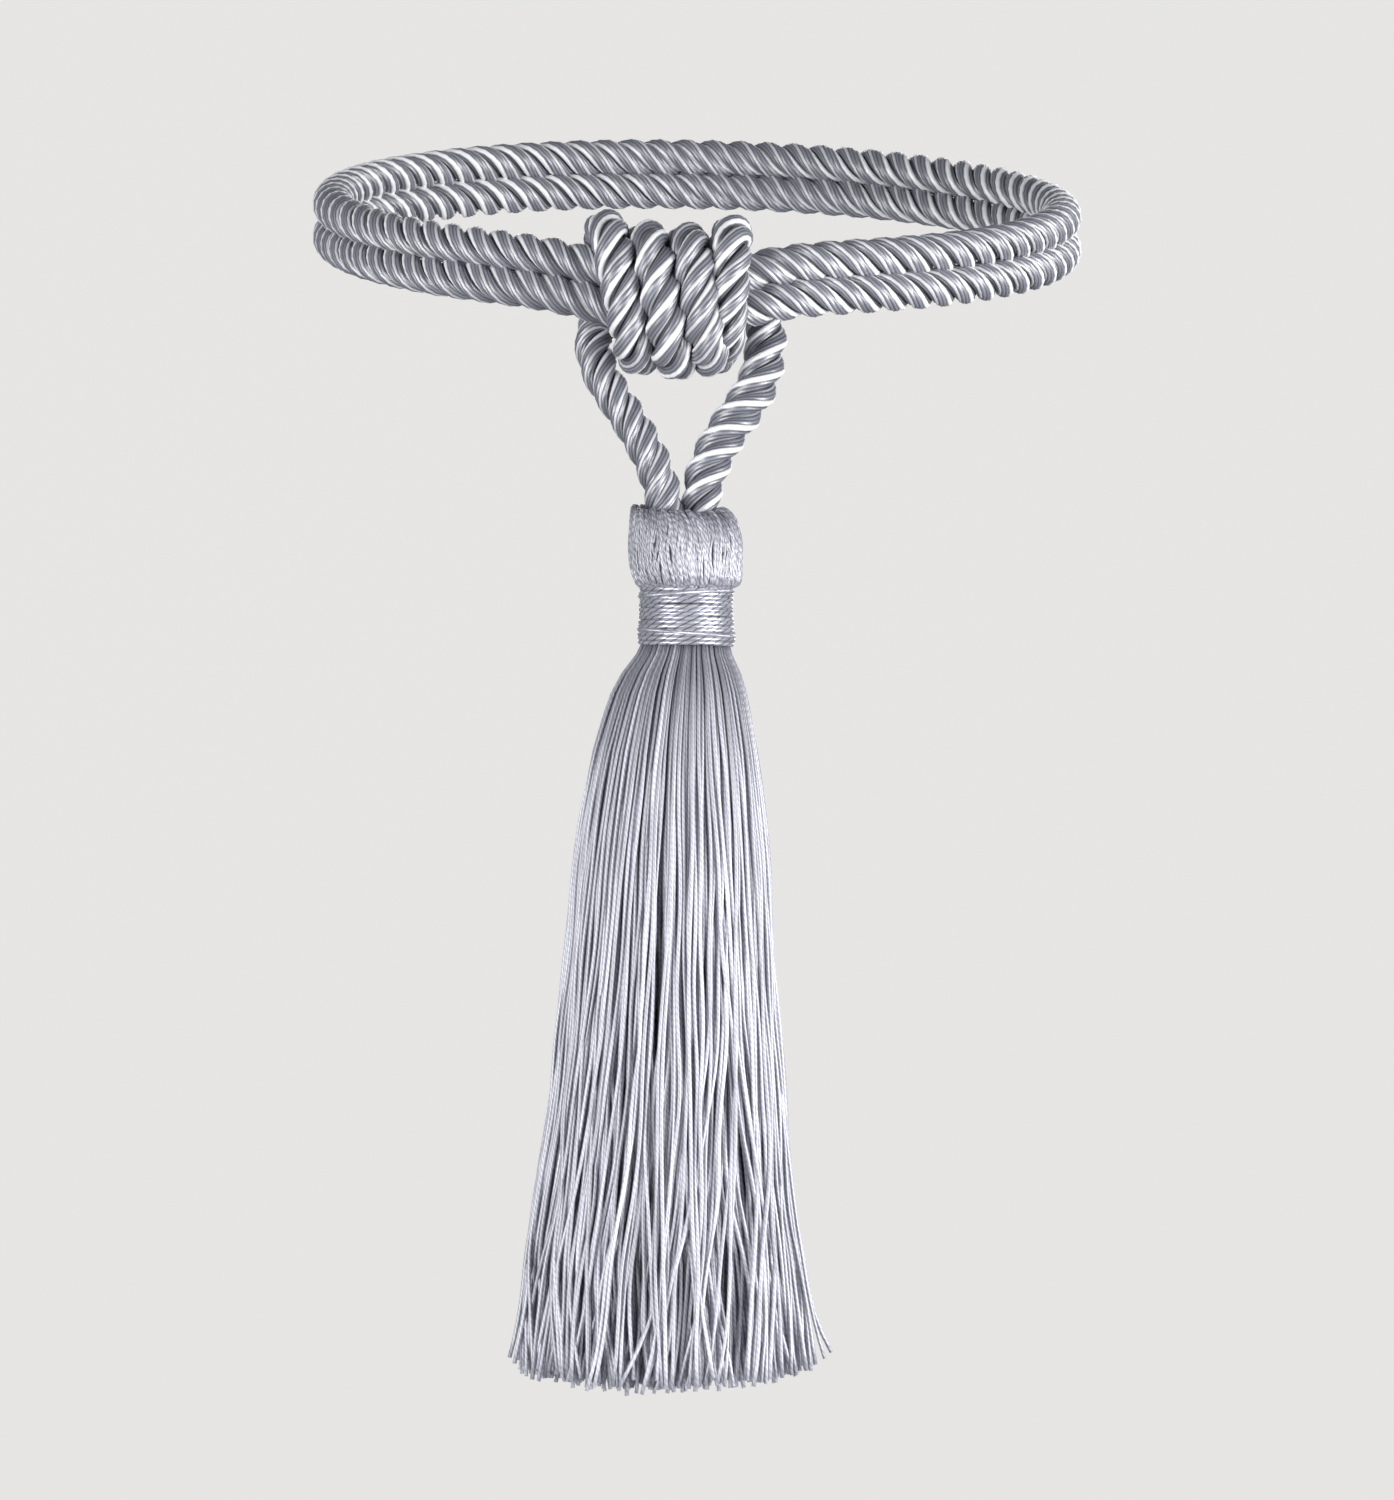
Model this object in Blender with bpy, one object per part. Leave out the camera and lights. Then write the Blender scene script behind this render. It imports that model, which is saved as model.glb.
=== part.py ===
"""Curtain tieback with a tassel, hanging as it does round a gathered curtain.

One rope is laid round twice as a tilted ring, its two ends inside the knot. A second rope is
wound four times round the pair as the knot. A third hangs from the knot as a V and carries
the tassel, which is a bundle of threads folded over it and bound at the neck.
Units are metres, +Z is up, the front faces -Y and the origin is the centre of the ring.
"""

import math
import random

import bmesh
import bpy
from mathutils import Vector, geometry

# The rope: three strands laid right-handed. All three lengths are cut from it.
ROPE_RADIUS = 0.0040
ROPE_LAY = 0.018
STEPS_PER_LAY = 7
STRANDS = 3
GAP = 0.0003

# One strand's share of the rope's outline: a groove, then the two shoulders of its crown.
# Columns: turn from the groove in degrees, share of the rope's radius.
STRAND_OUTLINE = ((0, 0.64), (35, 1.0), (85, 1.0))

# The ring, measured to the rope's centre.
RING_HALF_WIDTH = 0.077
RING_HALF_DEPTH = 0.068
RING_FRONT_DROP = 0.0155
RING_ROLL = 0.018
PASS_OFFSET = ROPE_RADIUS + GAP / 2
RING_SAMPLES = 240
RING_START_X = 0.0040
RING_END_X = -0.0140
CROSSING_FROM_X = -0.0125
CROSSING_TO_X = 0.0025

# The knot pulls the pair down a little where the tassel hangs.
KNOT_X = -0.0050
KNOT_DIP = 0.0048
KNOT_DIP_REACH = 0.0175

# The knot rope's turns. Each runs down the front leaning right, then up the back.
# Columns: x at the top, x at the bottom.
WRAPS = ((-0.0184, -0.0120), (-0.0100, -0.0041), (-0.0016, 0.0038), (0.0070, 0.0118))
BOTTOM_BEFORE_X = -0.0203
# The rope is stretched thinner where it is wound so tight.
WRAP_THICKNESS = 0.94
WRAP_RADIUS = 2 * ROPE_RADIUS + 0.0005
NOTCH_DEPTH = 0.0084

# The ropes that a turn bends round. Columns: offset back, offset up from the pair's centre.
WRAPPED = {
    "upper": (0.0, PASS_OFFSET),
    "lower": (0.0, -PASS_OFFSET),
    "cord": (NOTCH_DEPTH, 0.0),
}

# One turn. Columns: degrees from the top towards the front, rope bent round,
# share of the front's lean, share of the advance at the back.
WRAP_TURN = (
    (0, "upper", 0.0, 0.0),
    (45, "upper", 0.19, 0.0),
    (90, "upper", 0.38, 0.0),
    (90, "lower", 0.62, 0.0),
    (135, "lower", 0.81, 0.0),
    (180, "lower", 1.0, 0.0),
    (206, "lower", 1.0, 0.1),
    (206, "cord", 1.0, 0.3),
    (238, "cord", 1.0, 0.4),
    (270, "cord", 1.0, 0.5),
    (302, "cord", 1.0, 0.6),
    (334, "cord", 1.0, 0.7),
    (334, "upper", 1.0, 0.9),
)

# The rope's two ends are drawn in behind its turns. Columns: row of WRAP_TURN, share of radius.
TUCK_AT_START = ((9, 0.55), (10, 0.80), (11, 0.95), (12, 1.0))
TUCK_AT_END = ((0, 1.0), (1, 0.97), (2, 0.88), (3, 0.74), (4, 0.50))

# The hanging cord's route, from the tassel's head up, through the knot and down again.
# Columns: x, y, z of the rope's centre.
HANGING_ROUTE = (
    (-0.0061, -0.0688, -0.0642),
    (-0.0063, -0.0688, -0.0605),
    (-0.0078, -0.0680, -0.0552),
    (-0.0101, -0.0668, -0.0500),
    (-0.0131, -0.0650, -0.0450),
    (-0.0162, -0.0632, -0.0402),
    (-0.0191, -0.0612, -0.0353),
    (-0.0210, -0.0586, -0.0292),
    (-0.0200, -0.0570, -0.0232),
    (-0.0142, -0.0583, -0.0197),
    (-0.0050, -0.0594, -0.0203),
    (0.0042, -0.0593, -0.0196),
    (0.0104, -0.0586, -0.0190),
    (0.0142, -0.0578, -0.0234),
    (0.0142, -0.0600, -0.0302),
    (0.0126, -0.0622, -0.0366),
    (0.0091, -0.0641, -0.0423),
    (0.0058, -0.0655, -0.0472),
    (0.0034, -0.0665, -0.0522),
    (0.0020, -0.0672, -0.0572),
    (0.0018, -0.0672, -0.0605),
    (0.0018, -0.0672, -0.0642),
)

# The tassel's head and neck, round a centre line that the cord enters from above.
TASSEL_Y = -0.0680
AROUND = 32

# Columns: z, half width, half depth, centre x. From the hollow that takes the cord's two
# ends, over the rim and down the head and the neck to the lip that holds the skirt.
BUNDLE = (
    (-0.0647, 0.0090, 0.0067, -0.0022),
    (-0.0628, 0.0094, 0.0073, -0.0024),
    (-0.0623, 0.0098, 0.0086, -0.0026),
    (-0.0632, 0.0104, 0.0102, -0.0025),
    (-0.0660, 0.0109, 0.0111, -0.0023),
    (-0.0720, 0.0111, 0.0113, -0.0023),
    (-0.0755, 0.0107, 0.0109, -0.0022),
    (-0.0771, 0.0096, 0.0097, -0.0021),
    (-0.0775, 0.0086, 0.0086, -0.0022),
    (-0.0905, 0.0086, 0.0086, -0.0022),
    (-0.0908, 0.0095, 0.0095, -0.0024),
    (-0.0915, 0.0097, 0.0097, -0.0026),
)

# The binding wound round the neck. Columns: z, outer radius.
BINDING_X = -0.0022
BINDING_INNER = 0.0089
BINDING = (
    (-0.0778, 0.0092),
    (-0.0785, 0.0096),
    (-0.0840, 0.0098),
    (-0.0892, 0.0101),
    (-0.0902, 0.0097),
)

# The skirt. Columns: z, half width, half depth, centre x.
SKIRT = (
    (-0.0915, 0.0097, 0.0097, -0.0026),
    (-0.0990, 0.0137, 0.0128, -0.0036),
    (-0.1180, 0.0181, 0.0158, -0.0047),
    (-0.1650, 0.0232, 0.0192, -0.0060),
    (-0.2350, 0.0318, 0.0255, -0.0058),
)
SKIRT_RIM = 0.0088

# The skirt's strands stand in rings on the lip. Columns: strands, radius at the root.
STRAND_RINGS = (
    (48, 0.0087),
    (42, 0.0073),
    (35, 0.0059),
    (27, 0.0045),
    (19, 0.0031),
    (11, 0.0017),
    (3, 0.0005),
)
STRAND_SIDES = 3
# Half thickness of a strand at each level of the skirt.
STRAND_HALF = (0.00036, 0.00052, 0.00075, 0.00090, 0.00105)
STRAND_SWAY = 0.0005
TIP_Z = -0.2385
TIP_UNEVEN = 0.0022
TIP_SIDE_RISE = 0.0040
SEED = 7


def material(name, colour, roughness):
    """A Principled material of one colour."""
    made = bpy.data.materials.new(name)
    made.use_nodes = True
    shader = made.node_tree.nodes["Principled BSDF"]
    shader.inputs["Base Color"].default_value = (*colour, 1.0)
    shader.inputs["Roughness"].default_value = roughness
    shader.inputs["Metallic"].default_value = 0.0
    made.diffuse_color = (*colour, 1.0)
    return made


def add_object(name, bm, finish, parent):
    """Turns a closed bmesh into a named object with its normals out."""
    bmesh.ops.recalc_face_normals(bm, faces=bm.faces[:])
    mesh = bpy.data.meshes.new(name)
    bm.to_mesh(mesh)
    bm.free()
    mesh.shade_smooth()
    mesh.materials.append(finish)
    made = bpy.data.objects.new(name, mesh)
    made.parent = parent
    bpy.context.scene.collection.objects.link(made)
    return made


def pair_centre(x, y):
    """Height of the middle of the two passes: tilted, a little rolled, and drawn down at the knot."""
    height = RING_FRONT_DROP * y / RING_HALF_DEPTH - RING_ROLL * x
    if y < 0:
        height -= KNOT_DIP * math.exp(-(((x - KNOT_X) / KNOT_DIP_REACH) ** 2))
    return height


def front_y(x):
    """How far forward the ring lies at this x."""
    return -RING_HALF_DEPTH * math.sqrt(1 - (x / RING_HALF_WIDTH) ** 2)


def smooth_step(value):
    value = min(max(value, 0.0), 1.0)
    return value * value * (3 - 2 * value)


def ring_route():
    """Two rounds of the ring: the first on top, the second below, changing over inside the knot."""
    start = math.asin(RING_START_X / RING_HALF_WIDTH)
    end = 4 * math.pi + math.asin(RING_END_X / RING_HALF_WIDTH)
    change_from = 2 * math.pi + math.asin(CROSSING_FROM_X / RING_HALF_WIDTH)
    change_to = 2 * math.pi + math.asin(CROSSING_TO_X / RING_HALF_WIDTH)
    route = []
    for i in range(RING_SAMPLES + 1):
        turn = start + (end - start) * i / RING_SAMPLES
        x = RING_HALF_WIDTH * math.sin(turn)
        y = -RING_HALF_DEPTH * math.cos(turn)
        lowered = smooth_step((turn - change_from) / (change_to - change_from))
        z = pair_centre(x, y) + PASS_OFFSET * (1 - 2 * lowered)
        route.append(Vector((x, y, z, 1.0)))
    return route


def wrap_point(top, bottom, next_top, row, share=1.0):
    """A point of the knot rope, drawn left against its neighbour where the rope is squeezed."""
    degrees, core, front, back = WRAP_TURN[row]
    x = top + (bottom - top) * front + (next_top - bottom) * back
    core_y, core_z = WRAPPED[core]
    angle = math.radians(degrees)
    y = front_y(x) + core_y - WRAP_RADIUS * math.sin(angle)
    z = pair_centre(x, front_y(x)) + core_z + WRAP_RADIUS * math.cos(angle)
    return Vector((x - ROPE_RADIUS * (1 - share), y, z, share * WRAP_THICKNESS))


def knot_route():
    """Four turns round the pair and the hanging cord, with both ends drawn in."""
    first_top = WRAPS[0][0]
    route = [wrap_point(BOTTOM_BEFORE_X, BOTTOM_BEFORE_X, first_top, *tuck) for tuck in TUCK_AT_START]
    for (top, bottom), (next_top, _) in zip(WRAPS, WRAPS[1:]):
        route += [wrap_point(top, bottom, next_top, row) for row in range(len(WRAP_TURN))]
    last_top, last_bottom = WRAPS[-1]
    route += [wrap_point(last_top, last_bottom, last_bottom, *tuck) for tuck in TUCK_AT_END]
    return route


def hanging_route():
    return [Vector((*point, 1.0)) for point in HANGING_ROUTE]


def through(points, per_span=12):
    """A smooth curve through the points (Catmull-Rom)."""
    padded = [2 * points[0] - points[1], *points, 2 * points[-1] - points[-2]]
    curve = []
    for a, b, c, d in zip(padded, padded[1:], padded[2:], padded[3:]):
        for i in range(per_span):
            t = i / per_span
            curve.append(
                b
                + (c - a) * (t / 2)
                + (2 * a - 5 * b + 4 * c - d) * (t * t / 2)
                + (3 * b - a - 3 * c + d) * (t**3 / 2)
            )
    curve.append(points[-1])
    return curve


def even_steps(curve, step):
    """The curve read again at even steps along its length."""
    along = [0.0]
    for a, b in zip(curve, curve[1:]):
        along.append(along[-1] + (b.xyz - a.xyz).length)
    count = max(2, round(along[-1] / step))
    result = []
    at = 0
    for i in range(count + 1):
        target = along[-1] * i / count
        while at < len(along) - 2 and along[at + 1] < target:
            at += 1
        share = (target - along[at]) / (along[at + 1] - along[at])
        result.append(curve[at].lerp(curve[at + 1], min(max(share, 0.0), 1.0)))
    return result


def rope_bmesh(route):
    """A three-strand rope swept along a route, its outline turning once in each lay."""
    step = ROPE_LAY / STEPS_PER_LAY
    centres = even_steps(through(route), step)
    corners = []
    for strand in range(STRANDS):
        for degrees, share in STRAND_OUTLINE:
            corners.append((math.radians(degrees + 360 * strand / STRANDS), share))
    bm = bmesh.new()
    side = None
    travelled = 0.0
    previous = None
    for i, centre in enumerate(centres):
        before = centres[max(i - 1, 0)].xyz
        after = centres[min(i + 1, len(centres) - 1)].xyz
        tangent = (after - before).normalized()
        if side is None:
            side = tangent.orthogonal().normalized()
        side = (side - tangent * side.dot(tangent)).normalized()
        up = tangent.cross(side)
        if i:
            travelled += (centre.xyz - centres[i - 1].xyz).length
        turned = 2 * math.pi * travelled / ROPE_LAY
        ring = []
        for angle, share in corners:
            reach = ROPE_RADIUS * share * centre.w
            spoke = side * math.cos(angle + turned) + up * math.sin(angle + turned)
            ring.append(bm.verts.new(centre.xyz + spoke * reach))
        if previous:
            for k in range(len(ring)):
                n = (k + 1) % len(ring)
                # The short diagonal runs along the rope and keeps the strands round.
                bm.faces.new((previous[k], previous[n], ring[k]))
                bm.faces.new((previous[n], ring[n], ring[k]))
        else:
            bm.faces.new(list(reversed(ring)))
        previous = ring
    bm.faces.new(previous)
    return bm


def oval(bm, z, half_width, half_depth, centre_x):
    """A ring of points at one height of the tassel."""
    ring = []
    for k in range(AROUND):
        angle = 2 * math.pi * k / AROUND
        x = centre_x + half_width * math.cos(angle)
        y = TASSEL_Y + half_depth * math.sin(angle)
        ring.append(bm.verts.new((x, y, z)))
    return ring


def join_rings(bm, first, second):
    for k in range(len(first)):
        n = (k + 1) % len(first)
        bm.faces.new((first[k], first[n], second[n], second[k]))


def strand_places():
    """Each strand's share of the skirt's radius, its direction and its ring."""
    places = []
    for number, (count, radius) in enumerate(STRAND_RINGS):
        for k in range(count):
            direction = 2 * math.pi * (k + 0.5 * (number % 2)) / count
            places.append((radius / SKIRT_RIM, direction))
    return places


def strand_rings(bm, reach, direction, chance):
    """The sections of one strand, from its root on the lip to its tip."""
    sway_x = chance.uniform(-STRAND_SWAY, STRAND_SWAY)
    sway_y = chance.uniform(-STRAND_SWAY, STRAND_SWAY)
    tip = TIP_Z + chance.uniform(-TIP_UNEVEN, TIP_UNEVEN)
    tip += TIP_SIDE_RISE * (reach * math.cos(direction)) ** 2
    rings = []
    for level, (z, half_width, half_depth, centre_x) in enumerate(SKIRT):
        half = STRAND_HALF[level]
        loose = level / (len(SKIRT) - 1)
        inset = SKIRT_RIM / SKIRT[0][1] if level == 0 else 1.0
        x = centre_x + reach * inset * (half_width - half) * math.cos(direction) + sway_x * loose
        y = TASSEL_Y + reach * inset * (half_depth - half) * math.sin(direction) + sway_y * loose
        z = tip if level == len(SKIRT) - 1 else z
        ring = []
        for k in range(STRAND_SIDES):
            angle = direction + 2 * math.pi * k / STRAND_SIDES
            ring.append(bm.verts.new((x + half * math.cos(angle), y + half * math.sin(angle), z)))
        rings.append(ring)
    return rings


def tassel_bmesh():
    """The folded bundle of threads: head, neck and skirt in one body."""
    bm = bmesh.new()
    ovals = [oval(bm, *row) for row in BUNDLE]
    for first, second in zip(ovals, ovals[1:]):
        join_rings(bm, first, second)
    bm.faces.new(ovals[0])
    chance = random.Random(SEED)
    lip = list(ovals[-1])
    rims = [list(range(AROUND))]
    for reach, direction in strand_places():
        rings = strand_rings(bm, reach, direction, chance)
        for first, second in zip(rings, rings[1:]):
            join_rings(bm, first, second)
        bm.faces.new(rings[-1])
        rims.append(list(range(len(lip), len(lip) + STRAND_SIDES)))
        lip += rings[0]
    fill_lip(bm, lip, rims)
    return bm


def fill_lip(bm, lip, rims):
    """Closes the flat lip between its rim and the strands' roots."""
    flat = [vert.co.xy for vert in lip]
    edges = []
    for rim in rims:
        edges += [(rim[k], rim[(k + 1) % len(rim)]) for k in range(len(rim))]
    faces, sources = geometry.delaunay_2d_cdt(flat, edges, [], 0, 1e-9)[2:4]
    roots = {frozenset(rim) for rim in rims[1:]}
    for face in faces:
        corners = [sources[corner][0] for corner in face]
        if frozenset(corners) not in roots:
            bm.faces.new([lip[corner] for corner in corners])


def binding_bmesh():
    """The winding round the neck, one closed ring turned about the neck's line."""
    bm = bmesh.new()
    outline = [(BINDING[0][0], BINDING_INNER), *BINDING, (BINDING[-1][0], BINDING_INNER)]
    verts = [bm.verts.new((BINDING_X + radius, TASSEL_Y, z)) for z, radius in outline]
    edges = [bm.edges.new((verts[k - 1], verts[k])) for k in range(len(verts))]
    bmesh.ops.spin(
        bm,
        geom=verts + edges,
        cent=(BINDING_X, TASSEL_Y, 0),
        axis=(0, 0, 1),
        angle=2 * math.pi,
        steps=AROUND,
        use_merge=True,
    )
    return bm


for existing in list(bpy.data.objects):
    bpy.data.objects.remove(existing, do_unlink=True)

tieback = bpy.data.objects.new("tieback", None)
bpy.context.scene.collection.objects.link(tieback)

silver_rope = material("silver rope", (0.60, 0.60, 0.66), 0.42)
silver_knot = material("silver knot rope", (0.62, 0.62, 0.68), 0.42)
silver_cord = material("silver hanging cord", (0.58, 0.58, 0.64), 0.42)
silver_thread = material("silver tassel thread", (0.64, 0.64, 0.71), 0.38)
silver_satin = material("silver satin winding", (0.70, 0.70, 0.77), 0.30)

add_object("ring_rope", rope_bmesh(ring_route()), silver_rope, tieback)
add_object("knot_rope", rope_bmesh(knot_route()), silver_knot, tieback)
add_object("hanging_cord", rope_bmesh(hanging_route()), silver_cord, tieback)
add_object("tassel_threads", tassel_bmesh(), silver_thread, tieback)
add_object("neck_binding", binding_bmesh(), silver_satin, tieback)
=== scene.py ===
"""The finish of a hanging curtain tieback: silver viscose rope, a bound head and a thread skirt."""

import math

import bmesh
import bpy
import numpy as np
from mathutils import Matrix, Vector


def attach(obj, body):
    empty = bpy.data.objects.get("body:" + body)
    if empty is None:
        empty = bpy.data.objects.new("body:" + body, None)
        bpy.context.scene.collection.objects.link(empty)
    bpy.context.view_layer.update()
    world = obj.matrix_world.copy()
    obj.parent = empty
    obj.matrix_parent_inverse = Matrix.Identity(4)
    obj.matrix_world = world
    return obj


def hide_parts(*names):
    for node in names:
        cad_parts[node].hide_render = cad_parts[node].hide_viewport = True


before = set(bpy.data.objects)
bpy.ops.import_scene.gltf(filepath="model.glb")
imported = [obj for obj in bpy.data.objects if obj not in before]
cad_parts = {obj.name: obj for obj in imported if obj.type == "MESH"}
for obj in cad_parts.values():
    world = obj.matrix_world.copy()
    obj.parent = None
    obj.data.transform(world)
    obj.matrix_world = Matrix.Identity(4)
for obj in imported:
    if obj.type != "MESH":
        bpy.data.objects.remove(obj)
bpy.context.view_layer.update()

# The camera. It stands level with the middle of the tieback, square in front of it and about
# 1.6 m away with a long lens, as for the photograph.
CAMERA_PLACE = (0.0, -1.675, -0.1112)
CAMERA_LENS = 190

camera_data = bpy.data.cameras.new("camera")
camera_data.lens = CAMERA_LENS
camera = bpy.data.objects.new("camera", camera_data)
camera.location = CAMERA_PLACE
camera.rotation_euler = (math.radians(90), 0, 0)
bpy.context.scene.collection.objects.link(camera)
bpy.context.scene.camera = camera

# The ring rope. One rope of three strands, laid right-handed from shiny viscose yarn, goes
# round the gathered curtain twice. Both of its ends lie inside the knot.
ROPE_RADIUS = 0.0040
ROPE_LAY = 0.018
STRANDS = 3
STRAND_RADIUS = 0.00186
STRAND_OFFSET = 0.00218
# Turn of the first strand's crown from the rope's side direction.
CROWN_TURN = math.radians(60)

# The ring's route is an oval along the rope's middle, lower in front and at the right.
RING_HALF_WIDTH = 0.077
RING_HALF_DEPTH = 0.068
RING_FRONT_DROP = 0.0155
RING_ROLL = 0.018
RING_THICKNESS = 1.05
# The two rounds press together, the strands of one into the grooves of the other.
PASS_OFFSET = 0.0035
# Both ends, and the change from the upper round to the lower, lie behind the knot's turns.
RING_START_X = 0.0040
RING_END_X = -0.0140
CROSSING_FROM_X = -0.0125
CROSSING_TO_X = 0.0025
# The tassel's weight draws the pair down at the knot.
KNOT_X = -0.0050
KNOT_DIP = 0.0048
KNOT_DIP_REACH = 0.0175
ROUND_SAMPLES = 120
SPAN_SAMPLES = 12
RING_STEPS_PER_LAY = 14

# Fine yarns round one strand. Every third is full and painted pale as a highlight line along it,
# every other of these palest.
# Columns: width beside the others, rise above them as a share of the strand's radius, corners.
YARNS = (
    (1.95, 0.07, 5),
    (0.95, 0.0, 3),
    (1.10, 0.0, 3),
    (1.15, 0.03, 5),
    (0.90, 0.0, 3),
    (1.05, 0.0, 3),
    (1.90, 0.07, 5),
    (1.00, 0.0, 3),
    (0.90, 0.0, 3),
    (1.20, 0.03, 5),
    (0.95, 0.0, 3),
    (1.10, 0.0, 3),
)
HIGHLIGHT_YARN_EVERY = 3
# How far the other highlight yarns go from the plain yarns' colour towards the palest ones'.
HIGHLIGHT_YARN_SHARE = 0.5
# Depth of the groove between two yarns, and how soon a yarn rises from it, 0 being at once.
YARN_GROOVE = 0.08
YARN_FULLNESS = 0.6
# Turns that the yarns take about their strand in one lay, and where they start.
YARN_TURN = 0.04
YARN_START = math.radians(-113)


def pair_centre(x, y):
    """Height of the middle of the two rounds: tilted, rolled a little, drawn down at the knot."""
    height = RING_FRONT_DROP * y / RING_HALF_DEPTH - RING_ROLL * x
    if y < 0:
        height -= KNOT_DIP * math.exp(-(((x - KNOT_X) / KNOT_DIP_REACH) ** 2))
    return height


def smooth_step(value):
    """An even change from 0 to 1 that starts and ends gently."""
    value = min(max(value, 0.0), 1.0)
    return value * value * (3 - 2 * value)


def ring_route():
    """Two rounds, the first above and the second below, changing over inside the knot."""
    start = math.asin(RING_START_X / RING_HALF_WIDTH)
    end = 4 * math.pi + math.asin(RING_END_X / RING_HALF_WIDTH)
    change_from = 2 * math.pi + math.asin(CROSSING_FROM_X / RING_HALF_WIDTH)
    change_to = 2 * math.pi + math.asin(CROSSING_TO_X / RING_HALF_WIDTH)
    route = []
    for turn in [*np.arange(start, end, 2 * math.pi / ROUND_SAMPLES), end]:
        x = RING_HALF_WIDTH * math.sin(turn)
        y = -RING_HALF_DEPTH * math.cos(turn)
        lowered = smooth_step((turn - change_from) / (change_to - change_from))
        z = pair_centre(x, y) + PASS_OFFSET * (1 - 2 * lowered)
        route.append((x, y, z, RING_THICKNESS))
    return route


def even_line(points, step):
    """A smooth line through rows of x, y, z and a fourth value, read at even steps."""
    rows = np.array(points)
    rows = np.vstack([2 * rows[0] - rows[1], rows, 2 * rows[-1] - rows[-2]])
    t = np.linspace(0, 1, SPAN_SAMPLES, endpoint=False)[:, None]
    spans = []
    for a, b, c, d in zip(rows, rows[1:], rows[2:], rows[3:]):
        bend = (2 * a - 5 * b + 4 * c - d) * t**2 / 2
        spans.append(b + (c - a) * t / 2 + bend + (3 * b - a - 3 * c + d) * t**3 / 2)
    line = np.vstack([*spans, rows[-2:-1]])
    along = np.concatenate([[0], np.cumsum(np.linalg.norm(np.diff(line[:, :3], axis=0), axis=1))])
    marks = np.linspace(0, along[-1], round(along[-1] / step) + 1)
    return np.stack([np.interp(marks, along, column) for column in line.T], axis=1)


def directions_across(line):
    """Two directions across a line at each of its points, carried along it without turning."""
    side = None
    sides = []
    ups = []
    for tangent in np.gradient(line[:, :3], axis=0):
        tangent = Vector(tangent).normalized()
        if side is None:
            side = tangent.orthogonal().normalized()
        side = (side - tangent * side.dot(tangent)).normalized()
        sides.append(side)
        ups.append(tangent.cross(side))
    return np.array(sides), np.array(ups)


def unit(rows):
    return rows / np.linalg.norm(rows, axis=1, keepdims=True)


def strand_outline():
    """Corners round one strand: their turns, shares of its radius and places among the yarns."""
    outline = []
    start = 0.0
    whole = sum(width for width, _, _ in YARNS)
    for number, (width, rise, corners) in enumerate(YARNS):
        for step in np.arange(corners) / corners:
            crown = math.sin(math.pi * step) ** YARN_FULLNESS
            turn = 2 * math.pi * (start + width * step) / whole + YARN_START
            share = 1 - YARN_GROOVE * (1 - crown) + rise * crown
            outline.append((turn, share, (number + step) / len(YARNS)))
        start += width
    return np.array(outline).T


def laid_rope(name, line, steps_per_lay):
    """Three strands of ribbed yarns laid round a line, as one mesh.

    A curve's sweep can't hold the yarns to the strand's outer side, so the corners are set
    here. The UV map runs in metres along the strands and from 0 to 1 round them, and the
    attribute outward is 1 on the rope's outside and less down between its strands."""
    sides, ups = directions_across(line)
    turned = 2 * math.pi * np.arange(len(line)) / steps_per_lay
    metres = ROPE_LAY * np.arange(len(line)) / steps_per_lay
    turns, shares, yarn_places = strand_outline()
    yarn_places = np.append(yarn_places, 1.0)
    corners = len(turns)
    thickness = line[:, 3:4]
    row, corner = np.meshgrid(np.arange(len(line) - 1), np.arange(corners), indexing="ij")
    beside = (corner + 1) % corners
    quads = np.stack([corner, beside, beside + corners, corner + corners], axis=-1)
    quads += row[..., None] * corners
    along = metres[np.stack([row, row, row + 1, row + 1], axis=-1)]
    around = yarn_places[np.stack([corner, corner + 1, corner + 1, corner], axis=-1)]
    strand_uv = np.stack([along, around], axis=-1).reshape(-1, 2)
    cap_uv = np.zeros((2 * corners, 2))
    first_cap = np.arange(corners)[::-1]
    last_cap = np.arange(corners) + (len(line) - 1) * corners
    points, faces, places, outward = [], [], [], []
    for strand in range(STRANDS):
        angle = (turned + CROWN_TURN + 2 * math.pi * strand / STRANDS)[:, None]
        spoke = sides * np.cos(angle) + ups * np.sin(angle)
        centres = line[:, :3] + spoke * STRAND_OFFSET * thickness
        forward = unit(np.gradient(centres, axis=0))
        out = unit(spoke - forward * (spoke * forward).sum(axis=1, keepdims=True))
        across = np.cross(forward, out)
        turn = turns + YARN_TURN * turned[:, None]
        radius = STRAND_RADIUS * thickness * shares
        verts = centres[:, None] + (radius * np.cos(turn))[..., None] * out[:, None]
        verts += (radius * np.sin(turn))[..., None] * across[:, None]
        reach = np.linalg.norm(verts - line[:, None, :3], axis=2) / (thickness * ROPE_RADIUS)
        base = strand * corners * len(line)
        points.append(verts.reshape(-1, 3))
        outward.append(reach.ravel())
        faces += (quads.reshape(-1, 4) + base).tolist()
        faces += [(first_cap + base).tolist(), (last_cap + base).tolist()]
        places += [strand_uv, cap_uv]
    mesh = bpy.data.meshes.new(name)
    mesh.from_pydata(np.vstack(points), [], faces)
    mesh.uv_layers.new(name="UVMap").data.foreach_set("uv", np.vstack(places).ravel())
    mesh.attributes.new("outward", "FLOAT", "POINT").data.foreach_set("value", np.hstack(outward))
    return mesh


# The viscose's sheen, and its relief from a groove to a yarn's crown.
SHEEN_IOR = 1.8
SHEEN_LEVEL = 1.0
RELIEF_DEPTH = 0.00012
RELIEF_STRENGTH = 0.8
# Fine filaments: how many ripples come to a metre along a yarn and to its width, and how high.
FILAMENTS_ALONG = 700.0
FILAMENTS_ACROSS = 9.0
FILAMENT_RELIEF = 0.22
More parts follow.
